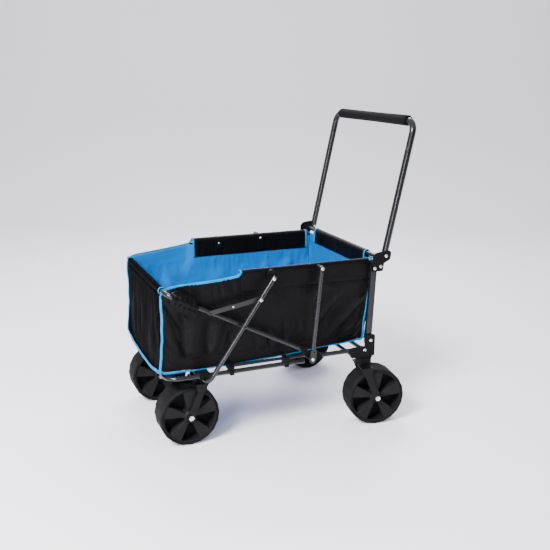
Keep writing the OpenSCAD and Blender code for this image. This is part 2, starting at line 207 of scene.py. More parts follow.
def moulded_plastic(name, rgb, low, high, grain=1600, specular=0.07):
    f = Finish(name, rgb, Specular_IOR_Level=specular)
    f.colour(f.noise(35, 4), 0.75, 1.3)
    f.roughness(f.noise(80, 3), low, high)
    f.bump(f.noise(grain, 2), 0.00010)
    f.bump(f.noise(70, 2), 0.00025)
    return f.mat


def zinc_plate():
    f = Finish("bright_zinc", (0.62, 0.63, 0.65), Metallic=1.0)
    f.colour(f.noise(220, 3), 0.82, 1.12)
    f.roughness(f.noise(400, 3), 0.16, 0.36)
    f.bump(f.noise(700, 2, (1, 1, 0.2)), 0.00005)
    return f.mat


THREAD_PITCH = 0.0009


def woven(name, rgb, low, high, specular, creases, tint=(0.72, 1.3)):
    """Plain-woven cloth: mottled and slubbed colour, soft creases and threads in the bump."""
    f = Finish(name, rgb, Specular_IOR_Level=specular)
    thread = f.weave(THREAD_PITCH)
    mottle = f.noise(9, 4)
    slub = f.noise(260, 2, (1, 0.12, 1), f.uv)
    yarn = f.math("ADD", f.math("MULTIPLY", thread, 0.28), f.math("MULTIPLY", slub, 0.25))
    mixed = f.math("ADD", f.math("MULTIPLY", mottle, 0.55), yarn)
    f.colour(f.ramp(mixed, 0.3, 0.8), *tint)
    f.roughness(mottle, low, high)
    f.bump(f.noise(16, 3, (1, 1, 0.6)), creases)
    f.bump(thread, 0.00016, 0.8)
    return f.mat


def binding_tape():
    f = Finish("cyan_binding", (0.0, 0.155, 0.34), Specular_IOR_Level=0.04)
    xyz = f.node("ShaderNodeSeparateXYZ")
    f.link(f.uv, xyz.inputs[0])
    rib = f.ramp(f.math("SINE", f.math("MULTIPLY", xyz.outputs[0], 2 * math.pi / 0.0011)), -1, 1)
    # a row of lock stitches along the tape's middle, one every 3.6 mm
    on_row = f.math("LESS_THAN", f.math("ABSOLUTE", xyz.outputs[1]), 0.0006)
    along = f.math("SINE", f.math("MULTIPLY", xyz.outputs[0], 2 * math.pi / 0.0036))
    stitch = f.math("MULTIPLY", on_row, f.math("GREATER_THAN", along, -0.3))
    cloth = f.ramp(f.noise(40, 3), 0.3, 0.7, 0.35, 1.0)
    f.colour(f.math("SUBTRACT", cloth, f.math("MULTIPLY", stitch, 0.35)), 0.55, 1.15)
    f.roughness(f.noise(50, 3), 0.45, 0.62)
    f.bump(rib, 0.00018, 0.7)
    f.bump(stitch, 0.0004, 0.8)
    return f.mat


def foam():
    f = Finish("grip_foam", (0.0040, 0.0040, 0.0043), Specular_IOR_Level=0.03, Sheen_Weight=0.008)
    cells = f.node("ShaderNodeTexVoronoi", Scale=900.0)
    f.link(f.place, cells.inputs["Vector"])
    f.colour(f.noise(40, 4), 0.7, 1.4)
    f.roughness(f.noise(100), 0.68, 0.86)
    f.bump(cells.outputs["Distance"], 0.0002, 0.7)
    f.bump(f.noise(30, 3), 0.0006)
    return f.mat


def soft_tread():
    f = Finish("soft_tread", (0.0060, 0.0060, 0.0062), Specular_IOR_Level=0.04)
    scuff = f.noise(26, 6, (1, 3, 1))
    f.colour(f.ramp(scuff, 0.35, 0.75), 0.75, 1.9)
    f.roughness(scuff, 0.58, 0.78)
    f.bump(f.noise(420, 3), 0.00025)
    f.bump(f.noise(12, 3), 0.0015)
    return f.mat


def studio_floor():
    f = Finish("studio_floor", (0.80, 0.785, 0.84), Specular_IOR_Level=0.2)
    f.colour(f.noise(0.6, 2), 0.97, 1.03)
    return f.mat


M = {
    "steel": steel_paint("anthracite_powder_coat", (0.0050, 0.0055, 0.0068), specular=0.24, low=0.20, high=0.30),
    "fork": steel_paint("satin_black_paint", (0.0030, 0.0030, 0.0034), specular=0.08, low=0.36, high=0.48),
    "plastic": moulded_plastic("black_moulding", (0.0034, 0.0034, 0.0038), low=0.42, high=0.58),
    "link": moulded_plastic("link_moulding", (0.0085, 0.0088, 0.0100), low=0.30, high=0.42, specular=0.35),
    "wheel": moulded_plastic("wheel_moulding", (0.0075, 0.0073, 0.0080), low=0.5, high=0.66, grain=1100),
    "zinc": zinc_plate(),
    "black": woven("black_oxford", (0.0018, 0.0017, 0.0019), low=0.30, high=0.42, specular=0.075, creases=0.0046),
    # painted shade: a darker copy of the black oxford with almost no specular, for the front panel and the front
    # bar's sleeve, which are the same cloth as the sides
    "shade": woven("black_oxford_front_painted_shade", (0.0012, 0.0011, 0.0012), low=0.50, high=0.64, specular=0.004,
                   creases=0.0034),
    "blue": woven("blue_oxford", (0.0, 0.104, 0.335), low=0.62, high=0.76, specular=0.02, creases=0.0026,
                  tint=(0.8, 1.16)),
    "tape": binding_tape(),
    "foam": foam(),
    "tread": soft_tread(),
    "floor": studio_floor(),
}

KINDS = (("rear_rivets", "zinc"), ("foot_rivets", "zinc"), ("leg_rivets", "zinc"), ("lock_rivets", "zinc"),
         ("handle_bolts", "zinc"), ("axle_", "zinc"), ("fork_", "fork"),
         ("rim_", "wheel"), ("tread_", "tread"), ("rear_bracket", "plastic"), ("handle_bracket", "plastic"),
         ("foot_joints", "plastic"), ("top_rail_ears", "plastic"), ("bar_feet", "plastic"),
         ("lock_links", "link"), ("front_bracket", "plastic"), ("slide_clips", "plastic"),
         ("handle_grip", "foam"))
for name, obj in NODES.items():
    kind = next((m for start, m in KINDS if name.startswith(start)), "steel")
    obj.data.materials.clear()
    obj.data.materials.append(M[kind])


# ---------------------------------------------------------------- mesh helpers

def smoothstep(x, low, high):
    t = min(1.0, max(0.0, (x - low) / (high - low)))
    return t * t * (3 - 2 * t)


def window(x, rise, full, fade, gone):
    """0 below rise, 1 from full to fade, 0 above gone."""
    return smoothstep(x, rise, full) * (1 - smoothstep(x, fade, gone))


def crest(phase):
    """A wave between 0 and 1."""
    return 0.5 + 0.5 * math.sin(phase)


def lerp(a, b, t):
    return a + (b - a) * t


def interp(x, pairs):
    return float(np.interp(x, [p[0] for p in pairs], [p[1] for p in pairs]))


def new_object(name, verts, faces, mat, uvs=None):
    mesh = bpy.data.meshes.new(name)
    mesh.from_pydata([tuple(v) for v in verts], [], faces)
    mesh.materials.append(mat)
    if uvs is not None:
        layer = mesh.uv_layers.new(name="UVMap")
        for loop in mesh.loops:
            layer.data[loop.index].uv = uvs[loop.vertex_index]
    mesh.shade_smooth()
    obj = bpy.data.objects.new(name, mesh)
    SCENE.collection.objects.link(obj)
    return obj


def grid(name, point, nu, nv, size, mat, flip=False):
    """A sheet of nu by nv quads whose corner (i, j) is point(i / nu, j / nv); size gives its UV in metres."""
    verts = [point(i / nu, j / nv) for j in range(nv + 1) for i in range(nu + 1)]
    uvs = [(i / nu * size[0], j / nv * size[1]) for j in range(nv + 1) for i in range(nu + 1)]
    faces = []
    for j in range(nv):
        for i in range(nu):
            a = j * (nu + 1) + i
            quad = (a, a + 1, a + nu + 2, a + nu + 1)
            faces.append(quad[::-1] if flip else quad)
    return new_object(name, verts, faces, mat, uvs)


def coords(obj):
    return np.array([v.co for v in obj.data.vertices], float).reshape(-1, 3)


def set_coords(obj, co):
    obj.data.vertices.foreach_set("co", np.asarray(co, np.float32).ravel())
    obj.data.update()


def mirrored(obj, name):
    """A copy of obj on the other side of the XZ plane."""
    other = bpy.data.objects.new(name, obj.data.copy())
    SCENE.collection.objects.link(other)
    co = coords(obj)
    co[:, 1] *= -1
    set_coords(other, co)
    other.data.flip_normals()
    return other


def thicken(obj, metres):
    """Gives a sheet this thickness, half of it on each side."""
    m = obj.modifiers.new("thickness", "SOLIDIFY")
    m.thickness, m.offset = metres, 0.0
    bpy.context.view_layer.objects.active = obj
    with bpy.context.temp_override(object=obj, active_object=obj, selected_objects=[obj]):
        bpy.ops.object.modifier_apply(modifier=m.name)
    obj.data.shade_smooth()
    return obj


CLOTH_FRAMES, CLOTH_GRAVITY = 22, 0.35


def settle(obj, pin, grow, cap):
    """Lets a sheet buckle and sag as cloth cut larger than its frame by grow, held where pin is 1.

    No point moves further than cap.
    """
    rest = coords(obj)
    group = obj.vertex_groups.new(name="pin")
    for i, w in enumerate(pin.ravel()):
        group.add([i], float(w), "REPLACE")
    m = obj.modifiers.new("cloth", "CLOTH")
    s = m.settings
    s.quality, s.mass = 5, 0.25
    s.tension_stiffness = s.compression_stiffness = 18
    s.shear_stiffness, s.bending_stiffness = 8, 0.25
    s.vertex_group_mass, s.pin_stiffness = "pin", 1.0
    s.shrink_min = s.shrink_max = -grow
    s.effector_weights.gravity = CLOTH_GRAVITY
    m.collision_settings.use_collision = False
    m.point_cache.frame_start, m.point_cache.frame_end = 1, CLOTH_FRAMES
    for f in range(1, CLOTH_FRAMES + 1):
        SCENE.frame_set(f)
    done = obj.evaluated_get(bpy.context.evaluated_depsgraph_get())
    moved = np.array([v.co for v in done.data.vertices], float).reshape(-1, 3) - rest
    obj.modifiers.remove(m)
    obj.vertex_groups.remove(group)
    SCENE.frame_set(1)
    far = np.linalg.norm(moved, axis=1, keepdims=True)
    moved *= cap * np.tanh(far / cap) / np.maximum(far, 1e-9)
    set_coords(obj, rest + moved)


def edge_pins(nu, nv):
    """Pin weights, by row and column, of a grid that is held along its four edges."""
    pins = np.zeros((nv + 1, nu + 1))
    pins[0] = pins[-1] = pins[:, 0] = pins[:, -1] = 1.0
    return pins


def wobble(p, scale, seed):
    return noise.noise(Vector(p) * scale + Vector((seed, seed * 1.7, seed * 0.3)))


TAPE_SIDES = 12          # points round a tape's section


def sweep(name, path, wide, thick, out, mat, closed=False):
    """Binding tape: a flattened tube along path. out(p) is the direction that its flat side faces there."""
    pts = [Vector(p) for p in path]
    verts, uvs, faces, run = [], [], [], 0.0
    n = len(pts)
    for i, p in enumerate(pts):
        ahead = pts[(i + 1) % n] if closed or i < n - 1 else p
        behind = pts[i - 1] if closed or i > 0 else p
        t = (ahead - behind).normalized()
        o = Vector(out(p))
        o = (o - t * o.dot(t)).normalized()
        side = t.cross(o)
        run += (p - pts[i - 1]).length if i else 0
        for k in range(TAPE_SIDES):
            a = 2 * math.pi * k / TAPE_SIDES
            c, s = math.cos(a), math.sin(a)
            c, s = (math.copysign(abs(x) ** 0.75, x) for x in (c, s))
            verts.append(p + side * (c * wide / 2) + o * (s * thick / 2))
            uvs.append((run, c * wide / 2))
    rings = n if closed else n - 1
    for i in range(rings):
        here, there = i * TAPE_SIDES, (i + 1) % n * TAPE_SIDES
        for k in range(TAPE_SIDES):
            after = (k + 1) % TAPE_SIDES
            faces.append((here + k, here + after, there + after, there + k))
    if not closed:
        faces.append(tuple(range(TAPE_SIDES))[::-1])
        faces.append(tuple((n - 1) * TAPE_SIDES + k for k in range(TAPE_SIDES)))
    return new_object(name, verts, faces, mat, uvs)


def resample(points, step):
    """Points about step apart on a smooth line through the given ones."""
    p = np.array(points, float)
    t = np.concatenate([[0], np.cumsum(np.linalg.norm(np.diff(p, axis=0), axis=1))])
    fine = np.linspace(0, t[-1], max(2, int(t[-1] / step)))
    line = np.stack([np.interp(fine, t, p[:, k]) for k in range(3)], axis=1)
    for _ in range(3):
        line[1:-1] = (line[:-2] + 2 * line[1:-1] + line[2:]) / 4
    return line


def lathe(name, profile, mat, turns):
    """Closed ring profile of (radius, along) turned about the Z axis."""
    n = len(profile)
    verts, faces, uvs = [], [], []
    for i in range(turns):
        a = 2 * math.pi * i / turns
        for r, h in profile:
            verts.append((r * math.cos(a), r * math.sin(a), h))
            uvs.append((a * 0.1, h))
    for i in range(turns):
        for k in range(n):
            a, b = i * n + k, i * n + (k + 1) % n
            c, d = ((i + 1) % turns) * n + (k + 1) % n, ((i + 1) % turns) * n + k
            faces.append((a, d, c, b))
    return new_object(name, verts, faces, mat, uvs)


def join(name, objs):
    """One object from several, its parts keeping their UVs."""
    with bpy.context.temp_override(active_object=objs[0], object=objs[0], selected_objects=objs,
                                   selected_editable_objects=objs):
        bpy.ops.object.join()
    objs[0].name = name
    objs[0].data.name = name
    return objs[0]


# ---------------------------------------------------------------- the tub's shape

FLOOR = 0.285            # height of the lining's floor
REAR_X = 0.285           # the sides' rear end at the floor
WALL = 0.2262            # half width of the outer shell near the floor
RAIL_Y, RAIL_Z = 0.2525, 0.570           # middle of the top rails
STEP_X = -0.1735         # where the lowered edge ends and the sleeve on the top rail starts
SLEEVE_REAR = 0.284      # where that sleeve ends
FLAP = 0.058             # how far its flaps hang below the rail's middle
UNDER_FLAP = 0.82        # share of the sides' height at which the flaps start
REAR_BAR = (0.311, 0.584)                # x and z of the rear top tube
REAR_HALF = 0.192        # half length of the sleeve on it
BAR = (-0.418, 0.528)                    # x and z of the front top bar
ARM = (BAR, (0.038, 0.2941))             # the arm, from the bar down to its foot
SHELL_CLOTH, LINING_CLOTH, SLEEVE_CLOTH = 0.0010, 0.0008, 0.0011        # thicknesses


def arm_z(x):
    return lerp(ARM[0][1], ARM[1][1], (x - ARM[0][0]) / (ARM[1][0] - ARM[0][0]))


def front_x(z):
    """The corner between the front and the sides: bowed in the middle, furthest forward at the bottom."""
    return interp(z, ((0.262, -0.4335), (0.315, -0.4300), (0.370, -0.4248), (0.430, -0.4232), (0.517, -0.4258)))


def hem_z(x):
    """Height of the shell's bottom edge: it hangs lower towards the front and is drawn up at the corner."""
    return interp(x, ((-0.4335, 0.2665), (-0.427, 0.2615), (-0.415, 0.2575), (-0.39, 0.2563), (-0.34, 0.2568),
                      (-0.28, 0.2582), (-0.2, 0.2592), (-0.1, 0.2625), (0, 0.2668), (0.06, 0.2700), (0.11, 0.2755),
                      (0.17, 0.2782), (0.29, 0.2848)))


def edge_z(x):
    """Height of the shell's top edge: lowered in front of the step, then up under the sleeve."""
    low = interp(x, ((-0.4335, 0.508), (-0.4258, 0.514), (-0.4180, 0.526), (-0.408, 0.5362), (-0.385, 0.5408),
                     (-0.3, 0.5478), (-0.24, 0.5532), (-0.2, 0.5585), (-0.18, 0.562)))
    return lerp(low, 0.5635, smoothstep(x, STEP_X - 0.010, STEP_X + 0.002))


def edge_y(x):
    return lerp(0.2345, 0.2570, smoothstep(x, -0.41, STEP_X))


def shell_y(x, z):
    """Distance of the shell from the middle: widest at the top, in at the floor, out to the arm's sleeve."""
    y = lerp(WALL, edge_y(x) + 0.0015, smoothstep(z, 0.31, 0.56) ** 1.1)
    near = math.exp(-(((z - arm_z(x) + 0.002) / 0.030) ** 2))
    return y + (0.2592 - y) * near * window(x, -0.4235, -0.398, -0.335, -0.26)


def shell_folds(x, z):
    """Folds: upright under the front corner, slanting to the rear corner, short along the hem, soft elsewhere."""
    h = (z - 0.262) / 0.26
    lean = 0.16 * smoothstep(x, -0.36, -0.2)
    wave = crest((x - lean * (z - 0.3)) * 2 * math.pi / 0.072 + 1.6 * wobble((x * 2, 0, z), 3, 5) + 0.6)
    under_arm = smoothstep(h, 0.10, 0.34) * (1 - smoothstep(z, arm_z(x) - 0.05, arm_z(x) - 0.008))
    upright = -0.0140 * window(x, -0.425, -0.39, -0.21, -0.13) * wave ** 1.6 * under_arm
    d = (x - 0.27) * 0.80 + (z - 0.30) * -0.60
    pull = window(x, 0.07, 0.14, 0.255, 0.285) * window(h, 0.10, 0.28, 0.72, 0.95)
    slant = -0.0120 * pull * crest(d * 2 * math.pi / 0.085 + 1.2 * wobble((x, 0, z), 5, 2)) ** 1.4
    short = window(x, -0.17, -0.09, 0.06, 0.1) * window(h, 0.09, 0.2, 0.25, 0.6)
    low = -0.0075 * short * crest(x * 2 * math.pi / 0.052 + z * 9) ** 2
    high = -0.0040 * (0.5 + 0.5 * wobble((x * 0.5, 0, z * 1.6), 14, 3)) * window(h, 0.3, 0.6, 0.85, 0.97)
    return upright + slant + low + high + 0.0030 * wobble((x, 0, z), 10, 3) * window(h, 0, 0.15, 0.8, 1)


def outermost(z):
    """How far out the shell may lie at a height: inside the clips low down, inside the arms above."""
    return interp(z, ((0.272, 0.2280), (0.30, 0.2300), (0.36, 0.2600)))


def side_point(u, v):
    rear = REAR_X + 0.001 + 0.008 * v
    x = lerp(0, rear, u)
    for _ in range(3):       # the front edge's place and the hem's height depend on each other
        z = lerp(hem_z(x), edge_z(x), v)
        x = lerp(front_x(z), rear, u)
    return (x, -(shell_y(x, z) + shell_folds(x, z)), z)


NU, NV = 156, 66
side_l = grid("side_shell_l", side_point, NU, NV, (0.715, 0.29), M["black"])
pins = edge_pins(NU, NV)
for i in range(NU + 1):
    if lerp(-0.43, REAR_X, i / NU) > STEP_X:
        pins[int(NV * UNDER_FLAP):, i] = 1      # held under the sleeve's flap
settle(side_l, pins, grow=0.022, cap=0.009)
co = coords(side_l)
co[:, 1] = np.maximum(co[:, 1], [-outermost(z) for z in co[:, 2]])
set_coords(side_l, co)
side_r = mirrored(side_l, "side_shell_r")


def front_hem_z(y):
    return interp(abs(y), ((0, 0.2435), (0.06, 0.2438), (0.12, 0.2472), (0.15, 0.2503), (0.19, 0.2562),
                           (0.215, 0.2630), (0.2265, 0.2680)))


def front_point(u, v):
    y = lerp(-WALL, WALL, u)
    corner = smoothstep(abs(y), 0.165, WALL)
    z = lerp(front_hem_z(y), 0.516, v)
    h = (z - 0.245) / 0.27
    flat_x = lerp(-0.4338, -0.4292, smoothstep(z, 0.30, 0.50))
    bulge = math.sin(math.pi * h)
    folds = 0.0026 * math.sin(y * 2 * math.pi / 0.12 + 1 + 6 * (z - 0.3)) * bulge
    folds += 0.0035 * wobble((0, y, z), 8, 8) * bulge
    return (lerp(flat_x - folds, front_x(z), corner), y, z)


# the front panel gets the darker copy of the black oxford as painted shade
front_shell = grid("front_shell", front_point, 100, 60, (0.453, 0.272), M["shade"], flip=True)
settle(front_shell, edge_pins(100, 60), grow=0.014, cap=0.005)
co = coords(front_shell)
middle = np.abs(co[:, 1]) < 0.2
co[middle, 0] = np.clip(co[middle, 0], -0.4385, -0.4268)
set_coords(front_shell, co)


# ---------------------------------------------------------------- lining

IN = 0.0042              # gap between shell and lining
FLAP_TOP, FLAP_HEM = 0.2408, 0.2372      # the inner flap's distance from the middle at the rail and at its hem


def flap_y(z):
    return lerp(FLAP_TOP, FLAP_HEM, (RAIL_Z - z) / FLAP)


def lining_y(x, z):
    """The lining hugs the shell; behind the sleeve's inner flap it runs up between flap and rail."""
    y = shell_y(x, z) + shell_folds(x, z) - IN
    behind = smoothstep(x, STEP_X - 0.03, STEP_X + 0.004) * smoothstep(z, 0.470, 0.514)
    if x < STEP_X:
        y = min(y, edge_y(x) - 0.0022 + 0.004 * (0.54 - z) / 0.2)
    return lerp(y, flap_y(z) + 0.0022, behind)


def lining_side_point(u, v):
    x = lerp(-0.4205, REAR_X + 0.0005 + 0.0180 * v, u)
    top = edge_z(x) - 0.001 if x < STEP_X - 0.006 else 0.5585
    z = lerp(FLOOR + 0.0015, top, v)
    h = (z - FLOOR) / 0.26
    ripple = 0.0048 * wobble((x, 0, z * 0.7), 9, 21) + 0.0022 * wobble((x, 0, z), 24, 4)
    ripple += 0.0026 * math.sin((x - 0.55 * z) * 2 * math.pi / 0.14)
    y = lining_y(x, z) - (0.0030 + abs(ripple)) * window(h, 0.02, 0.25, 0.62, 0.86)
    return (x, -y, z)


NU, NV = 120, 50
lining_l = grid("lining_l", lining_side_point, NU, NV, (0.71, 0.28), M["blue"], flip=True)
pins = edge_pins(NU, NV)
pins[int(NV * UNDER_FLAP):] = 1
settle(lining_l, pins, grow=0.02, cap=0.007)
co, outer = coords(lining_l), coords(side_l)
near_xz = KDTree(len(outer))
for i, (x, _, z) in enumerate(outer):
    near_xz.insert((x, 0, z), i)
near_xz.balance()
for p in co:                     # never through the shell, whose five nearest points say where it is
    if p[2] < 0.50 or p[0] < STEP_X - 0.01:
        p[1] = max(p[1], 0.0026 + max(outer[i, 1] for _, i, _ in near_xz.find_n((p[0], 0, p[2]), 5)))
set_coords(lining_l, co)
lining_r = mirrored(lining_l, "lining_r")


def lining_front_point(u, v):
    z = lerp(FLOOR + 0.0015, 0.522, v)
    h = (z - FLOOR) / 0.24
    half = lerp(0.2215, 0.2315, smoothstep(z, 0.31, 0.5))
    y = lerp(-half, half, u)
    back = 0.004 + 0.006 * math.sin(math.pi * min(1, max(0, h)))
    back += 0.004 * abs(wobble((0, y, z), 10, 14)) * math.sin(math.pi * h)
    return (-0.4225 + back * max(0.0, math.cos(y / half * math.pi / 2)) ** 0.5, y, z)


lining_front = grid("lining_front", lining_front_point, 84, 44, (0.447, 0.236), M["blue"])
settle(lining_front, edge_pins(84, 44), grow=0.015, cap=0.005)
co = coords(lining_front)
co[:, 0] = np.maximum(co[:, 0], -0.4235)
set_coords(lining_front, co)


def rear_panel_point(bottom, top, way, seed):
    """A panel at the rear that leans from x = bottom to x = top and bags by way."""
    def point(u, v):
        z = lerp(FLOOR, 0.571, v)
        h = (z - FLOOR) / 0.286
        half = lerp(0.2225, 0.2408 if way < 0 else 0.2430, smoothstep(z, 0.31, 0.50))
        y = lerp(-half, half, u)
        swell = math.sin(math.pi * min(1, h * 1.2)) * max(0.0, math.cos(y / half * math.pi / 2)) ** 0.6
        fold = 0.0045 * wobble((0, y, z), 8, seed) + 0.0022 * math.sin((y + 0.5 * z) * 2 * math.pi / 0.13)
        return (lerp(bottom, top, h ** 0.85) + way * swell * (0.0045 + fold), y, z)
    return point


lining_rear = grid("lining_rear", rear_panel_point(0.2845, 0.3010, -1, 31), 84, 52, (0.449, 0.287), M["blue"],
                   flip=True)
settle(lining_rear, edge_pins(84, 52), grow=0.015, cap=0.005)
rear_shell = grid("rear_shell", rear_panel_point(0.2895, 0.3190, 0.7, 37), 84, 52, (0.449, 0.288), M["black"])
settle(rear_shell, edge_pins(84, 52), grow=0.012, cap=0.004)


FLOOR_HALF = 0.2205


def floor_point(u, v):
    x, y = lerp(-0.4215, REAR_X - 0.001, u), lerp(-FLOOR_HALF, FLOOR_HALF, v)
    dip = 0.0009 * wobble((x, y, 0), 12, 9) * (1 - (abs(y) / FLOOR_HALF) ** 4)
    seam = 0.0007 * math.exp(-((x + 0.06) / 0.004) ** 2)
    return (x, y, FLOOR + 0.0016 + dip - seam)


lining_floor = grid("lining_floor", floor_point, 120, 76, (0.706, 0.441), M["blue"])


# ---------------------------------------------------------------- sleeves on the bars

def sleeve_profile(radius, inner_drop, outer_drop, inner_lean, outer_lean):
    """Section of a sleeve over a bar: (outward, up) points from the inner hem over the bar to the outer hem."""
    pts = [(-radius + inner_lean * (1 - t), -inner_drop * (1 - t)) for t in np.linspace(0, 0.94, 9)]
    pts += [(-radius * math.cos(a), radius * math.sin(a)) for a in np.linspace(0, math.pi, 15)]
    pts += [(radius - outer_lean * t, -outer_drop * t) for t in np.linspace(0.06, 1, 9)]
    return pts


def sleeve(name, profile, place, count, length, mat, seed):
    """A sleeve swept along a bar: place(t) gives the bar's middle, its outward and up directions."""
    run = [0.0]
    for a, b in zip(profile, profile[1:]):
        run.append(run[-1] + math.dist(a, b))
    nv = len(profile) - 1

    def point(u, v):
        k = round(v * nv)
        middle, outward, up = place(u)
        a, b = profile[k]
        loose = 0.0009 * (0.4 + min(1.0, max(0.0, -b) / 0.02))
        w = 1 + loose / 0.01 * wobble((u * length, run[k], 0), 26, seed)
        return Vector(middle) + Vector(outward) * (a * w) + Vector(up) * b
    obj = grid(name, point, count, nv, (length, run[-1]), mat)
    layer = obj.data.uv_layers[0]
    for loop in obj.data.loops:
        i, k = loop.vertex_index % (count + 1), loop.vertex_index // (count + 1)
        layer.data[loop.index].uv = (i / count * length, run[k])
    return obj


def band_place(u):
    return (lerp(STEP_X, SLEEVE_REAR, u), -RAIL_Y, RAIL_Z), (0, -1, 0), (0, 0, 1)


band_l = sleeve("top_band_l", sleeve_profile(0.0105, FLAP, FLAP, -0.0042, 0.0030), band_place,
                count=110, length=0.458, mat=M["black"], seed=2)
band_l.data.flip_normals()
thicken(band_l, SLEEVE_CLOTH)
band_r = mirrored(band_l, "top_band_r")


REAR_FLAP = 0.044        # how far the inner flap on the rear bar hangs below its middle


def rear_band_place(u):
    return (REAR_BAR[0], lerp(-REAR_HALF, REAR_HALF, u), REAR_BAR[1]), (1, 0, 0), (0, 0, 1)


rear_band = sleeve("rear_band", sleeve_profile(0.0100, REAR_FLAP, 0.046, -0.0030, 0.0010), rear_band_place,
                   count=90, length=2 * REAR_HALF, mat=M["black"], seed=6)
thicken(rear_band, SLEEVE_CLOTH)


FRONT_HALF = 0.212       # half length of the sleeve on the front bar


def front_band_place(u):
    return (BAR[0], lerp(-FRONT_HALF, FRONT_HALF, u), BAR[1]), (-1, 0, 0), (0, 0, 1)


# the front bar's sleeve gets the darker copy of the black oxford as painted shade
front_band = sleeve("front_band", sleeve_profile(0.0097, 0.018, 0.020, -0.002, 0.0005), front_band_place,
                    count=90, length=2 * FRONT_HALF, mat=M["shade"], seed=9)
front_band.data.flip_normals()
thicken(front_band, SLEEVE_CLOTH)


def wrap_point(u, v):
    """A loop of cloth round the arm: off the side panel above the arm, over and under it, and back below."""
    x = lerp(-0.4020, -0.3200, u)
    z = arm_z(x)
    swell = max(0.0, math.sin(math.pi * u)) ** 0.3
    loop = [(0.2570, 0.026 + 0.004 * swell), (0.2600, 0.020), (0.2660, 0.0128), (0.2725, 0.0098), (0.2778, 0.0050),
            (0.2792, -0.0015), (0.2768, -0.0080), (0.2715, -0.0125), (0.2650, -0.0190), (0.2605, -0.0275),
            (0.2575, -0.037 - 0.006 * swell)]
    t = v * (len(loop) - 1)
    y, dz = (float(np.interp(t, range(len(loop)), [p[k] for p in loop])) for k in (0, 1))
    puff = 0.0016 * wobble((x, dz * 2, 0), 40, 12) + 0.0008 * wobble((x, dz, 0), 90, 3)
    away = smoothstep(y, 0.2575, 0.268)
    dz = min(dz, edge_z(x) - 0.006 - z)
    y = y + puff * away + 0.0010 * math.sin(x * 420 + v * 5) * away
    return (x + 0.003 * wobble((v * 0.1, 0, 0), 30, 6), -y, z + dz)


NU, NV = 44, 40
wrap_l = grid("arm_wrap_l", wrap_point, NU, NV, (0.084, 0.092), M["black"], flip=True)
co = coords(wrap_l)
rows = co.reshape(NV + 1, NU + 1, 3)
for _ in range(2):               # rounds the loop's corners
    rows[1:-1] = (rows[:-2] + 2 * rows[1:-1] + rows[2:]) / 4
set_coords(wrap_l, co)
thicken(wrap_l, SLEEVE_CLOTH)
wrap_r = mirrored(wrap_l, "arm_wrap_r")


# ---------------------------------------------------------------- binding tape

def left_out(p):
    return (0.1, -1, 0.15)


def wavy(points, amount, seed):
    return [Vector(p) + Vector([amount * wobble(p, 22, seed + k * 11) for k in range(3)]) for p in points]


TAPE, TAPE_THICK = 0.0090, 0.0036        # width and thickness where it binds two panels
NARROW, THIN = 0.0075, 0.0030            # and on a sleeve's cut edge
PIPING = 0.0085                          # width up the rear corner
ROUND_BAR = 0.0112                       # distance from a bar's middle where tape runs over its sleeve
top_line = [(-0.4262, -0.2290, 0.512), (-0.4215, -0.2310, 0.5225)]
top_line += [(x, -(edge_y(x) + 0.0003), edge_z(x) + 0.0005) for x in np.linspace(-0.4165, STEP_X - 0.016, 60)]
curl = [(STEP_X - 0.014 + 0.0115 * t, -(0.2580 + 0.0040 * t), lerp(edge_z(STEP_X - 0.015), RAIL_Z + 0.002, t ** 1.6))
        for t in np.linspace(0.1, 1, 10)]
over = [(STEP_X - 0.0015, -RAIL_Y - 0.0115 * math.cos(a), RAIL_Z + ROUND_BAR * math.sin(a))
        for a in np.linspace(0.15, math.pi, 14)]


def flap_edge(x, first):
    """The inner flap's cut edge at x, from near the rail down to the hem."""
    return [(x, -(flap_y(RAIL_Z - FLAP * t) - 0.0006), RAIL_Z - FLAP * t) for t in np.linspace(first, 1.0, 10)]


def off_rail(p):
    """Away from the top rail, and level below it."""
    d = Vector((0, p.y + RAIL_Y, max(0.0, p.z - RAIL_Z)))
    return tuple(d) if d.length > 1e-4 else (0, 0, 1)


top_tape = sweep("tape_top_l", resample(top_line + curl, 0.004), TAPE, TAPE_THICK, left_out, M["tape"])
step_tape = sweep("tape_step_l", resample(over + flap_edge(STEP_X - 0.0015, 0.08), 0.003), TAPE * 0.8, THIN,
                  off_rail, M["tape"])
hem_line = [(x, -(WALL + 0.0001), hem_z(x) + 0.0015) for x in np.linspace(-0.4325, REAR_X, 110)]
hem_line = [Vector(p) + Vector((0, 0, 0.0018 * wobble(p, 18, 2))) for p in hem_line]
hem_tape = sweep("tape_hem_l", resample(hem_line, 0.005), 0.0088, 0.0034, lambda p: (0, -1, 0), M["tape"])
corner_line = [(front_x(z) - 0.0006, -0.2272 - 0.0045 * smoothstep(z, 0.40, 0.50), z)
               for z in np.linspace(0.264, 0.513, 46)]
corner_line = [(x, y + 0.0022 * math.sin((z - 0.25) * 34) * math.sin(math.pi * (z - 0.264) / 0.25), z)
               for x, y, z in corner_line]
corner_tape = sweep("tape_corner_l", resample(wavy(corner_line, 0.003, 7), 0.004), TAPE, 0.0045,
                    lambda p: (-0.75, -0.65, 0), M["tape"])
rear_line = [(lerp(0.2895, 0.3205, t ** 0.85), -(0.2285 + 0.0040 * math.sin(6 * t)), lerp(0.288, 0.572, t))
             for t in np.linspace(0, 1, 50)]
rear_tape = sweep("tape_rear_l", resample(wavy(rear_line, 0.002, 5), 0.005), PIPING, TAPE_THICK,
                  lambda p: (0.5, -0.85, 0), M["tape"])
notch_line = [(SLEEVE_REAR + 0.001, -RAIL_Y + ROUND_BAR * math.cos(a), RAIL_Z + ROUND_BAR * math.sin(a))
              for a in np.linspace(math.pi * 0.9, 0.1, 12)] + flap_edge(SLEEVE_REAR + 0.001, 0.1)
notch_tape = sweep("tape_notch_l", resample(notch_line, 0.003), NARROW, THIN, off_rail, M["tape"])
edge_line = [(REAR_X + 0.003 + 0.03 * (z - 0.285), -(shell_y(REAR_X, z) + 0.0004), z)
             for z in np.linspace(0.286, 0.508, 40)]
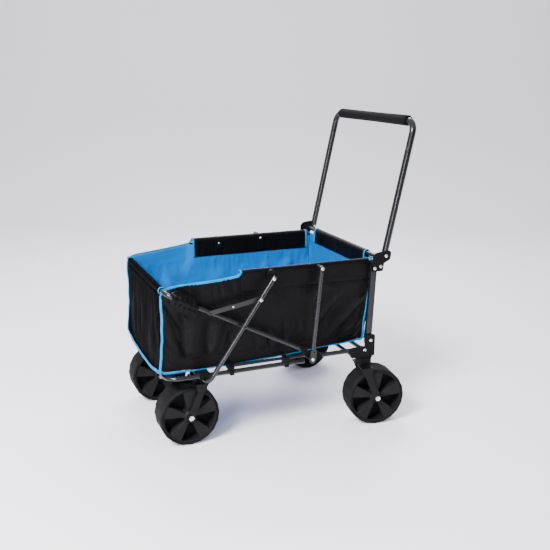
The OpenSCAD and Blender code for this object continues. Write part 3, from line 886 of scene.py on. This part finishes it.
edge_tape = sweep("tape_edge_l", resample(wavy(edge_line, 0.0015, 4), 0.005), PIPING, TAPE_THICK,
                  lambda p: (0.35, -0.93, 0), M["tape"])
tub_tapes_l = join("tape_tub_l", [top_tape, hem_tape, corner_tape, edge_tape])
tub_tapes_r = mirrored(tub_tapes_l, "tape_tub_r")
rail_tapes_l = join("tape_rail_l", [step_tape, notch_tape])
rail_tapes_r = mirrored(rail_tapes_l, "tape_rail_r")
rear_tape_r = mirrored(rear_tape, "tape_rear_r")
rear_edge_l = [(REAR_BAR[0] - ROUND_BAR - 0.0030 * d / REAR_FLAP, -REAR_HALF - 0.001, REAR_BAR[1] - d)
               for d in np.linspace(REAR_FLAP, 0.004, 10)]
rear_edge_l += [(REAR_BAR[0] - ROUND_BAR * math.cos(a), -REAR_HALF - 0.001, REAR_BAR[1] + ROUND_BAR * math.sin(a))
                for a in np.linspace(0, math.pi * 0.9, 12)]


def rear_edge_out(p):
    d = Vector((p.x - REAR_BAR[0], 0, max(0.0, p.z - REAR_BAR[1])))
    return tuple(d) if d.length > 1e-4 else (0, 0, 1)


rear_edge = sweep("tape_rear_band_l", resample(rear_edge_l, 0.003), NARROW, THIN, rear_edge_out, M["tape"])
rear_edge_r = mirrored(rear_edge, "tape_rear_band_r")

front_line = [(-0.4345 + 0.0008 * smoothstep(abs(y), 0.2, WALL), y, front_hem_z(y) + 0.001)
              for y in np.linspace(-WALL, WALL, 90)]
front_line = [(-0.4265, -0.2276, 0.2640), (-0.4310, -0.2276, 0.2665), *front_line,
              (-0.4310, 0.2276, 0.2665), (-0.4265, 0.2276, 0.2640)]


def front_out(p):
    """Forward on the hem, turning sideways at the corners."""
    k = smoothstep(abs(p.y), 0.219, 0.230)
    return (-(1 - k) - 0.1, math.copysign(k, p.y), -0.1)


front_tape = sweep("tape_front", resample(wavy(front_line, 0.0018, 3), 0.005), 0.0120, 0.0052, front_out, M["tape"])
bar_rings = []
for s in (-1, 1):
    ring = [(BAR[0] + 0.0102 * math.cos(a), s * 0.2125, BAR[1] + 0.0102 * math.sin(a))
            for a in np.linspace(0, 2 * math.pi, 33)[:-1]]
    bar_rings.append(sweep(f"tape_ring_{s}", ring, 0.0062, 0.0032, lambda p: (p.x - BAR[0], 0, p.z - BAR[1]),
                           M["tape"], closed=True))
bar_rings = join("tape_bar_rings", bar_rings)


# ---------------------------------------------------------------- rivets on the inside of the sleeves

def band_rivets():
    """Domed heads on the inner flap, over a stitched patch, where the ears' bolts come through."""
    heads, patches = [], []
    dome = [(0.0001, 0.0024), (0.0016, 0.0023), (0.0032, 0.0018), (0.0044, 0.0009), (0.0048, 0.0),
            (0.0048, -0.0008), (0.0001, -0.0008)]
    for k, (x, z) in enumerate(((-0.076, 0.5560), (0.092, 0.5640))):
        y = -(flap_y(z) - 0.0009)
        head = lathe(f"head_{k}", dome, M["zinc"], 32)
        head.data.transform(Matrix.Translation((x, y, z)) @ Matrix.Rotation(-math.pi / 2, 4, "X"))
        heads.append(head)

        def patch_point(u, v, x=x):
            px, pz = x + lerp(-0.013, 0.013, u), lerp(0.5185, 0.5665, v)
            soft = 0.0006 * min(1, 6 * min(u, 1 - u, v, 1 - v))
            return (px, -(flap_y(pz) - 0.0010 - soft - 0.0004 * wobble((px, 0, pz), 60, 4)), pz)
        patch = grid(f"patch_{k}", patch_point, 16, 26, (0.026, 0.048), M["black"], flip=True)
        patches.append(patch)
    return join("inner_rivets_l", heads), thicken(join("inner_patches_l", patches), LINING_CLOTH)


inner_rivets, inner_patches = band_rivets()
inner_rivets_r = mirrored(inner_rivets, "inner_rivets_r")
inner_patches_r = mirrored(inner_patches, "inner_patches_r")


# ---------------------------------------------------------------- handle grip

def grip():
    lo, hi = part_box("handle_grip")
    half, middle = (hi.y - lo.y) / 2, (lo + hi) / 2
    radius, bore = 0.0172, 0.0118
    profile = [(bore, half - 0.004), (bore + 0.0012, half - 0.0005), (radius - 0.003, half),
               (radius - 0.0008, half - 0.0015)]
    profile += [(radius + 0.0004 * math.cos(t * math.pi * 2), half * (1 - 2 * t))
                for t in np.linspace(0.012, 0.988, 70)]
    profile += [(radius - 0.0008, -half + 0.0015), (radius - 0.003, -half), (bore + 0.0012, -half + 0.0005),
                (bore, -half + 0.004)]

    def point(u, v):
        r, y = profile[round(v * (len(profile) - 1))]
        a = 2 * math.pi * u
        r *= 1 + 0.012 * wobble((math.cos(a) * 0.02, y, math.sin(a) * 0.02), 30, 2) if r > 0.016 else 1
        return (middle.x + r * math.cos(a), y, middle.z + r * math.sin(a))
    return grid("foam_grip", point, 48, len(profile) - 1, (2 * math.pi * radius, 2 * half), M["foam"], flip=True)


foam_grip = grip()


# ---------------------------------------------------------------- wheels

YAW = {"fl": 0, "fr": 0, "rl": -9, "rr": 9}      # degrees that the CAD's casters are turned at rest


def wheel_frame(code):
    """Middle of a wheel, its axle's direction and the way that it rolls."""
    lo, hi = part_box("tread_" + code)
    a = math.radians(YAW[code])
    return (lo + hi) / 2, Vector((-math.sin(a), math.cos(a), 0)), Vector((math.cos(a), math.sin(a), 0))


def arc(cx, cy, r, a0, a1, n):
    """n points on a circle about (cx, cy), from a0 to a1 degrees."""
    return [(cx + r * math.cos(math.radians(a)), cy + r * math.sin(math.radians(a)))
            for a in np.linspace(a0, a1, n)]


def tread_profile():
    crown = [(0.1 - 0.0006 * (h / 0.036) ** 2, h) for h in np.linspace(-0.031, 0.031, 13)]
    return [(0.0912, -0.0405), (0.0916, -0.0416), *arc(0.0920, -0.0340, 0.0078, 270, 352, 9), *crown,
            *arc(0.0920, 0.0340, 0.0078, 8, 90, 9), (0.0916, 0.0416), (0.0912, 0.0405)]


def faceted(obj, sides):
    """Shallow flats round the tread."""
    co = coords(obj)
    r, a = np.hypot(co[:, 0], co[:, 1]), np.arctan2(co[:, 1], co[:, 0])
    step = 2 * math.pi / sides
    f = math.cos(step / 2) / np.cos(np.mod(a, step) - step / 2)
    f = 1 - (1 - f) * np.clip((r - 0.092) / 0.006, 0, 1)
    co[:, 0] *= f
    co[:, 1] *= f
    set_coords(obj, co)


def spoke(i, mat):
    """A wedge-shaped spoke through the wheel's depth, its long edges softened."""
    lo, hi, rows = 0.0185, 0.0872, 10
    outline = [(lerp(lo, hi, t), lerp(0.0068, 0.0228, t)) for t in np.linspace(0, 1, rows)]
    ring = outline + [(r, -w) for r, w in reversed(outline)]
    n = len(ring)
    face = ((0.0368, 0.0), (0.0374, -0.0003), (0.0378, -0.0010))
    levels = [(-z, s) for z, s in reversed(face)] + list(face)
    verts = [(r, w * (1 + s / abs(w)), z) for z, s in levels for r, w in ring]
    faces = [(m * n + k, m * n + (k + 1) % n, (m + 1) * n + (k + 1) % n, (m + 1) * n + k)
             for m in range(len(levels) - 1) for k in range(n)]
    last = (len(levels) - 1) * n
    for base, way in ((0, -1), (last, 1)):
        for k in range(rows - 1):
            quad = (base + k, base + k + 1, base + n - 2 - k, base + n - 1 - k)
            faces.append(quad if way < 0 else quad[::-1])
    obj = new_object(f"spoke_{i}", verts, faces, mat, [(v[0], v[1]) for v in verts])
    obj.data.transform(Matrix.Rotation(math.radians(90 + 72 * i), 4, "Z"))
    return obj


def rim_parts(mat):
    d = 0.039            # half the barrel's depth
    barrel = [(0.0862, -d + 0.0012), *arc(0.0874, -d + 0.0010, 0.0010, 180, 270, 4), (0.0898, -d),
              (0.0908, -d + 0.0010), (0.0908, d - 0.0010), (0.0898, d), *arc(0.0874, d - 0.0010, 0.0010, 90, 180, 4),
              (0.0862, d - 0.0012)]
    half = [(0.0062, 0.0435), (0.0150, 0.0435), (0.0162, 0.0425), (0.0178, 0.0400), (0.0200, 0.0385),
            (0.0209, 0.0370)]
    hub = [(r, -z) for r, z in half] + half[::-1]
    # the web behind the spokes is the same plastic as the wheel but gets the darker black moulding: painted shade in
    # the openings
    web = [(0.0200, -0.0014), (0.0868, -0.0014), (0.0868, 0.0014), (0.0200, 0.0014)]
    parts = [lathe("barrel", barrel, mat, 128), lathe("hub", hub, mat, 64), lathe("web", web, M["plastic"], 64)]
    return parts + [spoke(i, mat) for i in range(5)]


def sharpen(obj, degrees):
    """Smooth shading, with edges sharper than this left crisp."""
    with bpy.context.temp_override(object=obj, active_object=obj, selected_objects=[obj],
                                   selected_editable_objects=[obj]):
        bpy.ops.object.shade_smooth_by_angle(angle=math.radians(degrees))


def place_wheel(obj, code):
    middle, axle, along = wheel_frame(code)
    up = along.cross(axle)
    spin = Matrix((along, up, axle)).transposed()      # wheel drawn on XY, axis Z
    obj.data.transform(Matrix.Translation(middle) @ spin.to_4x4())
    if spin.determinant() < 0:
        obj.data.flip_normals()


rim_mesh = join("rim_master", rim_parts(M["wheel"]))
sharpen(rim_mesh, 38)
tread_mesh = lathe("tread_master", tread_profile(), M["tread"], 160)
faceted(tread_mesh, 20)
sharpen(tread_mesh, 50)
wheels = {}
for code in ("fl", "fr", "rl", "rr"):
    for master, part in ((rim_mesh, "rim"), (tread_mesh, "tread")):
        obj = bpy.data.objects.new(f"wheel_{part}_{code}", master.data.copy())
        SCENE.collection.objects.link(obj)
        place_wheel(obj, code)
        wheels[part, code] = obj
for master in (rim_mesh, tread_mesh):
    bpy.data.objects.remove(master)


# ---------------------------------------------------------------- what rides on what

for piece in (side_l, side_r, front_shell):
    thicken(piece, SHELL_CLOTH)
for piece in (lining_l, lining_r, lining_front, lining_floor, lining_rear, rear_shell):
    thicken(piece, LINING_CLOTH)

RIDES = {
    "slide_rails": [side_l, side_r, front_shell, lining_l, lining_r, lining_front, lining_floor, tub_tapes_l,
                    tub_tapes_r, front_tape],
    "rear_frame": [lining_rear, rear_shell, rear_band, rear_tape, rear_tape_r, rear_edge, rear_edge_r],
    "top_rails": [band_l, band_r, rail_tapes_l, rail_tapes_r, inner_rivets, inner_rivets_r, inner_patches,
                  inner_patches_r],
    "bar_frame": [front_band, wrap_l, wrap_r, bar_rings],
    "handle": [foam_grip],
}
for body, pieces in RIDES.items():
    for piece in pieces:
        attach(piece, body)
        if body == "slide_rails":
            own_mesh(piece)
for (part, code), obj in wheels.items():
    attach(obj, "wheel_" + code)
    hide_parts(f"{part}_{code}")

REPLACES = {side_l: "tub_side_l", side_r: "tub_side_r", front_shell: "tub_front", lining_floor: "tub_floor",
            lining_rear: "rear_panel", rear_band: "rear_bar_sleeve", band_l: "top_sleeve_l", band_r: "top_sleeve_r",
            front_band: "front_bar_sleeve", wrap_l: "arm_sleeves", wrap_r: "arm_sleeves", foam_grip: "handle_grip"}
for piece, node in REPLACES.items():
    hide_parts(node)
for slot_name, pieces in {
    "black_fabric": [side_l, side_r, front_shell, rear_shell, rear_band, band_l, band_r, front_band, wrap_l, wrap_r,
                     inner_patches, inner_patches_r],
    "zinc": [inner_rivets, inner_rivets_r],
    "blue_lining": [lining_l, lining_r, lining_front, lining_floor, lining_rear],
    "blue_piping": [tub_tapes_l, tub_tapes_r, front_tape, rear_tape, rear_tape_r, rear_edge, rear_edge_r,
                    rail_tapes_l, rail_tapes_r, bar_rings],
    "grip_foam": [foam_grip],
}.items():
    for piece in pieces:
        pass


# ---------------------------------------------------------------- stage

def backdrop():
    """A pale floor that curves up into a wall far behind."""
    sweep_up = [(3.2 + 1.6 * math.sin(a), 1.6 - 1.6 * math.cos(a)) for a in np.linspace(0.1, math.pi / 2, 14)]
    profile = [(-6.0, 0.0), (3.2, 0.0), *sweep_up, (4.8, 5.0)]
    verts = [(x, y, z) for x in (-7.0, 7.0) for y, z in profile]
    n = len(profile)
    faces = [(i, i + 1, n + i + 1, n + i) for i in range(n - 1)]
    obj = new_object("backdrop", verts, faces, M["floor"])
    obj.data.transform(Matrix.Rotation(math.radians(-23), 4, "Z"))
    obj.data.flip_normals()
    return obj


backdrop()
